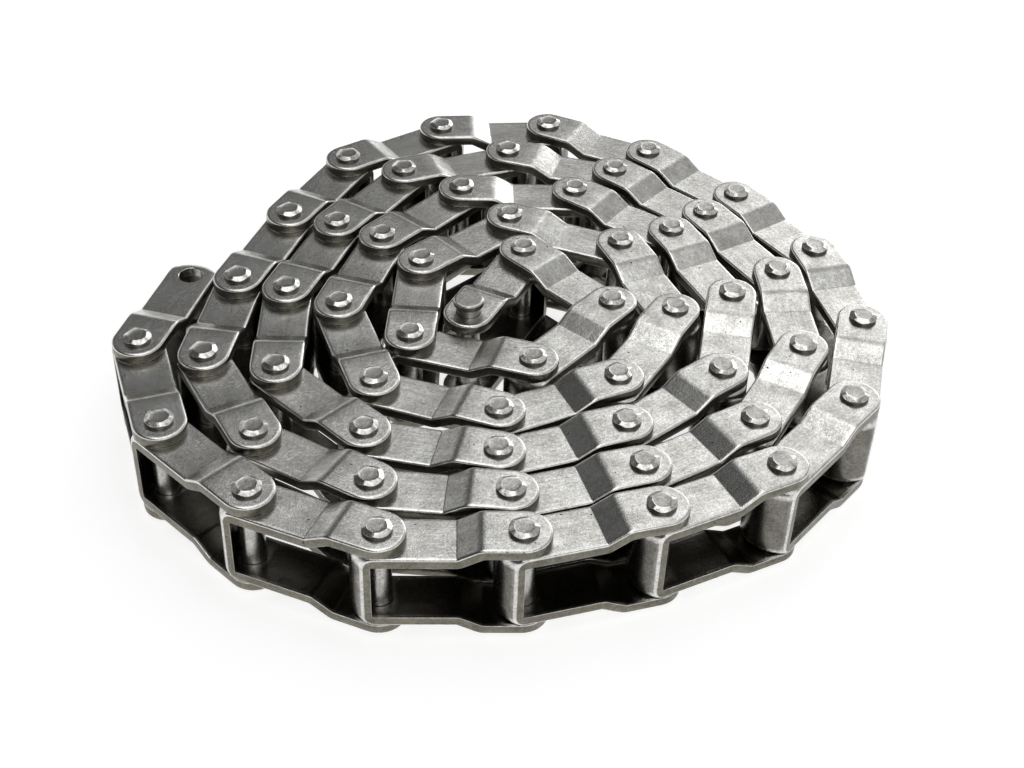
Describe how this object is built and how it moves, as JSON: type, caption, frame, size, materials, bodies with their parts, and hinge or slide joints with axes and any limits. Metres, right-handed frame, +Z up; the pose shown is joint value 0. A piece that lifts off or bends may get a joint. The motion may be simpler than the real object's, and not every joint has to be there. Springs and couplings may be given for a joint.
{
  "type": "pintle conveyor chain",
  "caption": "Coiled steel pintle chain: bent one-piece offset links with closed barrel ends and cranked ears, hinged on riveted pins, with a loose connecting pin at the inner end.",
  "frame": {"origin": "middle of the coil where it rests, at the lower pin heads", "axes": "+Z up along every pin of the flat coil; +X and +Y across the coil"},
  "size_m": [0.3506, 0.3322, 0.0575],
  "materials": {
    "link_steel": "plain mill steel, fine grained and lightly scuffed",
    "pin_steel": "plain turned steel"
  },
  "bodies": {
    "link_01": {"link_01": "link_steel"},
    "link_02": {"link_02": "link_steel"},
    "link_03": {"link_03": "link_steel"},
    "link_04": {"link_04": "link_steel"},
    "link_05": {"link_05": "link_steel"},
    "link_06": {"link_06": "link_steel"},
    "link_07": {"link_07": "link_steel"},
    "link_08": {"link_08": "link_steel"},
    "link_09": {"link_09": "link_steel"},
    "link_10": {"link_10": "link_steel"},
    "link_11": {"link_11": "link_steel"},
    "link_12": {"link_12": "link_steel"},
    "link_13": {"link_13": "link_steel"},
    "link_14": {"link_14": "link_steel"},
    "link_15": {"link_15": "link_steel"},
    "link_16": {"link_16": "link_steel"},
    "link_17": {"link_17": "link_steel"},
    "link_18": {"link_18": "link_steel"},
    "link_19": {"link_19": "link_steel"},
    "link_20": {"link_20": "link_steel"},
    "link_21": {"link_21": "link_steel"},
    "link_22": {"link_22": "link_steel"},
    "link_23": {"link_23": "link_steel"},
    "link_24": {"link_24": "link_steel"},
    "link_25": {"link_25": "link_steel"},
    "link_26": {"link_26": "link_steel"},
    "link_27": {"link_27": "link_steel"},
    "link_28": {"link_28": "link_steel"},
    "link_29": {"link_29": "link_steel"},
    "link_30": {"link_30": "link_steel"},
    "link_31": {"link_31": "link_steel"},
    "link_32": {"link_32": "link_steel"},
    "link_33": {"link_33": "link_steel"},
    "link_34": {"link_34": "link_steel"},
    "link_35": {"link_35": "link_steel"},
    "link_36": {"link_36": "link_steel"},
    "link_37": {"link_37": "link_steel"},
    "link_38": {"link_38": "link_steel"},
    "link_39": {"link_39": "link_steel"},
    "link_40": {"link_40": "link_steel"},
    "link_41": {"link_41": "link_steel"},
    "link_42": {"link_42": "link_steel"},
    "link_43": {"link_43": "link_steel"},
    "link_44": {"link_44": "link_steel"},
    "link_45": {"link_45": "link_steel"},
    "link_46": {"link_46": "link_steel"},
    "link_47": {"link_47": "link_steel"},
    "link_48": {"link_48": "link_steel"},
    "link_49": {"link_49": "link_steel"},
    "link_50": {"link_50": "link_steel"},
    "link_51": {"link_51": "link_steel"},
    "link_52": {"link_52": "link_steel"},
    "link_53": {"link_53": "link_steel"},
    "link_54": {"link_54": "link_steel"},
    "connecting_pin": {"connecting_pin": "pin_steel"}
  },
  "joints": [
    {"name": "hinge_01", "type": "hinge", "parent": "link_02", "child": "link_01", "pos_m": [-0.16243, -0.04204, 0.02636], "axis": [0, 0, 1], "range_deg": [0, 40.2]},
    {"name": "hinge_02", "type": "hinge", "parent": "link_03", "child": "link_02", "pos_m": [-0.14265, -0.09566, 0.02636], "axis": [0, 0, 1], "range_deg": [0, 33]},
    {"name": "hinge_03", "type": "hinge", "parent": "link_04", "child": "link_03", "pos_m": [-0.10034, -0.13408, 0.02636], "axis": [0, 0, 1], "range_deg": [0, 25.8]},
    {"name": "hinge_04", "type": "hinge", "parent": "link_05", "child": "link_04", "pos_m": [-0.0469, -0.15433, 0.02636], "axis": [0, 0, 1], "range_deg": [0, 28.2]},
    {"name": "hinge_05", "type": "hinge", "parent": "link_06", "child": "link_05", "pos_m": [0.01018, -0.15159, 0.02636], "axis": [0, 0, 1], "range_deg": [0, 18]},
    {"name": "hinge_06", "type": "hinge", "parent": "link_07", "child": "link_06", "pos_m": [0.06461, -0.13416, 0.02636], "axis": [0, 0, 1], "range_deg": [0, 12]},
    {"name": "hinge_07", "type": "hinge", "parent": "link_08", "child": "link_07", "pos_m": [0.11519, -0.10755, 0.02636], "axis": [0, 0, 1], "range_deg": [0, 28.2]},
    {"name": "hinge_08", "type": "hinge", "parent": "link_09", "child": "link_08", "pos_m": [0.15096, -0.06298, 0.02636], "axis": [0, 0, 1], "range_deg": [0, 32.4]},
    {"name": "hinge_09", "type": "hinge", "parent": "link_10", "child": "link_09", "pos_m": [0.1626, -0.00703, 0.02636], "axis": [0, 0, 1], "range_deg": [0, 33]},
    {"name": "hinge_10", "type": "hinge", "parent": "link_11", "child": "link_10", "pos_m": [0.14709, 0.04797, 0.02636], "axis": [0, 0, 1], "range_deg": [0, 25.2]},
    {"name": "hinge_11", "type": "hinge", "parent": "link_12", "child": "link_11", "pos_m": [0.11289, 0.09376, 0.02636], "axis": [0, 0, 1], "range_deg": [0, 14.4]},
    {"name": "hinge_12", "type": "hinge", "parent": "link_13", "child": "link_12", "pos_m": [0.06992, 0.13145, 0.02636], "axis": [0, 0, 1], "range_deg": [0, 5.3]},
    {"name": "hinge_13", "type": "hinge", "parent": "link_14", "child": "link_13", "pos_m": [0.01741, 0.15401, 0.02636], "axis": [0, 0, 1], "range_deg": [0, 8.6]},
    {"name": "hinge_14", "type": "hinge", "parent": "link_15", "child": "link_14", "pos_m": [-0.0394, 0.14778, 0.02636], "axis": [0, 0, 1], "range_deg": [0, 32.4]},
    {"name": "hinge_15", "type": "hinge", "parent": "link_16", "child": "link_15", "pos_m": [-0.08548, 0.11399, 0.02636], "axis": [0, 0, 1], "range_deg": [0, 8.6]},
    {"name": "hinge_16", "type": "hinge", "parent": "link_17", "child": "link_16", "pos_m": [-0.10896, 0.06188, 0.02636], "axis": [0, 0, 1], "range_deg": [0, 2]},
    {"name": "hinge_17", "type": "hinge", "parent": "link_18", "child": "link_17", "pos_m": [-0.1259, 0.0073, 0.02636], "axis": [0, 0, 1], "range_deg": [0, 3.2]},
    {"name": "hinge_18", "type": "hinge", "parent": "link_19", "child": "link_18", "pos_m": [-0.13213, -0.04951, 0.02636], "axis": [0, 0, 1], "range_deg": [0, 27.1]},
    {"name": "hinge_19", "type": "hinge", "parent": "link_20", "child": "link_19", "pos_m": [-0.10291, -0.09862, 0.02636], "axis": [0, 0, 1], "range_deg": [0, 37.2]},
    {"name": "hinge_20", "type": "hinge", "parent": "link_21", "child": "link_20", "pos_m": [-0.05256, -0.12567, 0.02636], "axis": [0, 0, 1], "range_deg": [0, 12.5]},
    {"name": "hinge_21", "type": "hinge", "parent": "link_22", "child": "link_21", "pos_m": [0.00452, -0.12841, 0.02636], "axis": [0, 0, 1], "range_deg": [0, 6.3]},
    {"name": "hinge_22", "type": "hinge", "parent": "link_23", "child": "link_22", "pos_m": [0.05864, -0.11004, 0.02636], "axis": [0, 0, 1], "range_deg": [0, 6.3]},
    {"name": "hinge_23", "type": "hinge", "parent": "link_24", "child": "link_23", "pos_m": [0.1067, -0.07913, 0.02636], "axis": [0, 0, 1], "range_deg": [0, 19.6]},
    {"name": "hinge_24", "type": "hinge", "parent": "link_25", "child": "link_24", "pos_m": [0.13287, -0.02832, 0.02636], "axis": [0, 0, 1], "range_deg": [0, 9.7]},
    {"name": "hinge_25", "type": "hinge", "parent": "link_26", "child": "link_25", "pos_m": [0.12715, 0.02854, 0.02636], "axis": [0, 0, 1], "range_deg": [0, 7.9]},
    {"name": "hinge_26", "type": "hinge", "parent": "link_27", "child": "link_26", "pos_m": [0.09623, 0.07661, 0.02636], "axis": [0, 0, 1], "range_deg": [0, 5.3]},
    {"name": "hinge_27", "type": "hinge", "parent": "link_27", "child": "link_28", "pos_m": [0.05197, 0.11277, 0.02636], "axis": [0, 0, -1], "range_deg": [0, 23.5]},
    {"name": "hinge_28", "type": "hinge", "parent": "link_28", "child": "link_29", "pos_m": [-0.00342, 0.12683, 0.02636], "axis": [0, 0, -1], "range_deg": [0, 10.8]},
    {"name": "hinge_29", "type": "hinge", "parent": "link_29", "child": "link_30", "pos_m": [-0.05612, 0.10473, 0.02636], "axis": [0, 0, -1], "range_deg": [0, 10.8]},
    {"name": "hinge_30", "type": "hinge", "parent": "link_30", "child": "link_31", "pos_m": [-0.08491, 0.05537, 0.02636], "axis": [0, 0, -1], "range_deg": [0, 3.7]},
    {"name": "hinge_31", "type": "hinge", "parent": "link_31", "child": "link_32", "pos_m": [-0.10234, 0.00094, 0.02636], "axis": [0, 0, -1], "range_deg": [0, 6]},
    {"name": "hinge_32", "type": "hinge", "parent": "link_32", "child": "link_33", "pos_m": [-0.09959, -0.05615, 0.02636], "axis": [0, 0, -1], "range_deg": [0, 18.7]},
    {"name": "hinge_33", "type": "hinge", "parent": "link_33", "child": "link_34", "pos_m": [-0.05763, -0.09494, 0.02636], "axis": [0, 0, -1], "range_deg": [0, 15.3]},
    {"name": "hinge_34", "type": "hinge", "parent": "link_34", "child": "link_35", "pos_m": [-0.0013, -0.10462, 0.02636], "axis": [0, 0, -1], "range_deg": [0, 8.9]},
    {"name": "hinge_35", "type": "hinge", "parent": "link_35", "child": "link_36", "pos_m": [0.05214, -0.08437, 0.02636], "axis": [0, 0, -1], "range_deg": [0, 5.9]},
    {"name": "hinge_36", "type": "hinge", "parent": "link_36", "child": "link_37", "pos_m": [0.09543, -0.04707, 0.02636], "axis": [0, 0, -1], "range_deg": [0, 11.9]},
    {"name": "hinge_37", "type": "hinge", "parent": "link_37", "child": "link_38", "pos_m": [0.10413, 0.00942, 0.02636], "axis": [0, 0, -1], "range_deg": [0, 10.4]},
    {"name": "hinge_38", "type": "hinge", "parent": "link_38", "child": "link_39", "pos_m": [0.07841, 0.06045, 0.02636], "axis": [0, 0, -1], "range_deg": [0, 8.5]},
    {"name": "hinge_39", "type": "hinge", "parent": "link_39", "child": "link_40", "pos_m": [0.03117, 0.09262, 0.02636], "axis": [0, 0, -1], "range_deg": [0, 10.7]},
    {"name": "hinge_40", "type": "hinge", "parent": "link_40", "child": "link_41", "pos_m": [-0.02594, 0.09037, 0.02636], "axis": [0, 0, -1], "range_deg": [0, 14.2]},
    {"name": "hinge_41", "type": "hinge", "parent": "link_41", "child": "link_42", "pos_m": [-0.0621, 0.04612, 0.02636], "axis": [0, 0, -1], "range_deg": [0, 7]},
    {"name": "hinge_42", "type": "hinge", "parent": "link_42", "child": "link_43", "pos_m": [-0.07713, -0.00902, 0.02636], "axis": [0, 0, -1], "range_deg": [0, 17.8]},
    {"name": "hinge_43", "type": "hinge", "parent": "link_43", "child": "link_44", "pos_m": [-0.05642, -0.06229, 0.02636], "axis": [0, 0, -1], "range_deg": [0, 15.1]},
    {"name": "hinge_44", "type": "hinge", "parent": "link_44", "child": "link_45", "pos_m": [-0.00184, -0.07923, 0.02636], "axis": [0, 0, -1], "range_deg": [0, 14.4]},
    {"name": "hinge_45", "type": "hinge", "parent": "link_45", "child": "link_46", "pos_m": [0.04942, -0.05396, 0.02636], "axis": [0, 0, -1], "range_deg": [0, 10.2]},
    {"name": "hinge_46", "type": "hinge", "parent": "link_46", "child": "link_47", "pos_m": [0.07691, -0.00385, 0.02636], "axis": [0, 0, -1], "range_deg": [0, 29.4]},
    {"name": "hinge_47", "type": "hinge", "parent": "link_47", "child": "link_48", "pos_m": [0.05298, 0.04805, 0.02636], "axis": [0, 0, -1], "range_deg": [0, 13.5]},
    {"name": "hinge_48", "type": "hinge", "parent": "link_48", "child": "link_49", "pos_m": [-0.00097, 0.06689, 0.02636], "axis": [0, 0, -1], "range_deg": [0, 21.5]},
    {"name": "hinge_49", "type": "hinge", "parent": "link_49", "child": "link_50", "pos_m": [-0.04191, 0.02701, 0.02636], "axis": [0, 0, -1], "range_deg": [0, 13]},
    {"name": "hinge_50", "type": "hinge", "parent": "link_50", "child": "link_51", "pos_m": [-0.04316, -0.03012, 0.02636], "axis": [0, 0, -1], "range_deg": [0, 41.7]},
    {"name": "hinge_51", "type": "hinge", "parent": "link_51", "child": "link_52", "pos_m": [0.01211, -0.04467, 0.02636], "axis": [0, 0, -1], "range_deg": [0, 19.3]},
    {"name": "hinge_52", "type": "hinge", "parent": "link_52", "child": "link_53", "pos_m": [0.04788, -0.0001, 0.02636], "axis": [0, 0, -1], "range_deg": [0, 43.4]},
    {"name": "hinge_53", "type": "hinge", "parent": "link_53", "child": "link_54", "pos_m": [0.00625, 0.03905, 0.02636], "axis": [0, 0, -1], "range_deg": [0, 48.2]},
    {"name": "connecting_pin_slide", "type": "slide", "parent": "link_54", "child": "connecting_pin", "axis": [0, 0, 1], "range_m": [0, 0.055]}
  ],
  "couplings": [
    {"joint": "hinge_01", "follows": "hinge_27", "ratio": 1.7106},
    {"joint": "hinge_02", "follows": "hinge_27", "ratio": 1.4043},
    {"joint": "hinge_03", "follows": "hinge_27", "ratio": 1.0979},
    {"joint": "hinge_04", "follows": "hinge_27", "ratio": 1.2},
    {"joint": "hinge_05", "follows": "hinge_27", "ratio": 0.76596},
    {"joint": "hinge_06", "follows": "hinge_27", "ratio": 0.51064},
    {"joint": "hinge_07", "follows": "hinge_27", "ratio": 1.2},
    {"joint": "hinge_08", "follows": "hinge_27", "ratio": 1.3787},
    {"joint": "hinge_09", "follows": "hinge_27", "ratio": 1.4043},
    {"joint": "hinge_10", "follows": "hinge_27", "ratio": 1.0723},
    {"joint": "hinge_11", "follows": "hinge_27", "ratio": 0.61277},
    {"joint": "hinge_12", "follows": "hinge_27", "ratio": 0.22553},
    {"joint": "hinge_13", "follows": "hinge_27", "ratio": 0.36596},
    {"joint": "hinge_14", "follows": "hinge_27", "ratio": 1.3787},
    {"joint": "hinge_15", "follows": "hinge_27", "ratio": 0.36596},
    {"joint": "hinge_16", "follows": "hinge_27", "ratio": 0.085106},
    {"joint": "hinge_17", "follows": "hinge_27", "ratio": 0.13617},
    {"joint": "hinge_18", "follows": "hinge_27", "ratio": 1.1532},
    {"joint": "hinge_19", "follows": "hinge_27", "ratio": 1.583},
    {"joint": "hinge_20", "follows": "hinge_27", "ratio": 0.53192},
    {"joint": "hinge_21", "follows": "hinge_27", "ratio": 0.26809},
    {"joint": "hinge_22", "follows": "hinge_27", "ratio": 0.26809},
    {"joint": "hinge_23", "follows": "hinge_27", "ratio": 0.83404},
    {"joint": "hinge_24", "follows": "hinge_27", "ratio": 0.41277},
    {"joint": "hinge_25", "follows": "hinge_27", "ratio": 0.33617},
    {"joint": "hinge_26", "follows": "hinge_27", "ratio": 0.22553},
    {"joint": "hinge_28", "follows": "hinge_27", "ratio": 0.45957},
    {"joint": "hinge_29", "follows": "hinge_27", "ratio": 0.45957},
    {"joint": "hinge_30", "follows": "hinge_27", "ratio": 0.15745},
    {"joint": "hinge_31", "follows": "hinge_27", "ratio": 0.25532},
    {"joint": "hinge_32", "follows": "hinge_27", "ratio": 0.79575},
    {"joint": "hinge_33", "follows": "hinge_27", "ratio": 0.65106},
    {"joint": "hinge_34", "follows": "hinge_27", "ratio": 0.37872},
    {"joint": "hinge_35", "follows": "hinge_27", "ratio": 0.25106},
    {"joint": "hinge_36", "follows": "hinge_27", "ratio": 0.50638},
    {"joint": "hinge_37", "follows": "hinge_27", "ratio": 0.44255},
    {"joint": "hinge_38", "follows": "hinge_27", "ratio": 0.3617},
    {"joint": "hinge_39", "follows": "hinge_27", "ratio": 0.45532},
    {"joint": "hinge_40", "follows": "hinge_27", "ratio": 0.60425},
    {"joint": "hinge_41", "follows": "hinge_27", "ratio": 0.29787},
    {"joint": "hinge_42", "follows": "hinge_27", "ratio": 0.75745},
    {"joint": "hinge_43", "follows": "hinge_27", "ratio": 0.64255},
    {"joint": "hinge_44", "follows": "hinge_27", "ratio": 0.61277},
    {"joint": "hinge_45", "follows": "hinge_27", "ratio": 0.43404},
    {"joint": "hinge_46", "follows": "hinge_27", "ratio": 1.2511},
    {"joint": "hinge_47", "follows": "hinge_27", "ratio": 0.57447},
    {"joint": "hinge_48", "follows": "hinge_27", "ratio": 0.91489},
    {"joint": "hinge_49", "follows": "hinge_27", "ratio": 0.55319},
    {"joint": "hinge_50", "follows": "hinge_27", "ratio": 1.7745},
    {"joint": "hinge_51", "follows": "hinge_27", "ratio": 0.82128},
    {"joint": "hinge_52", "follows": "hinge_27", "ratio": 1.8468},
    {"joint": "hinge_53", "follows": "hinge_27", "ratio": 2.0511}
  ]
}
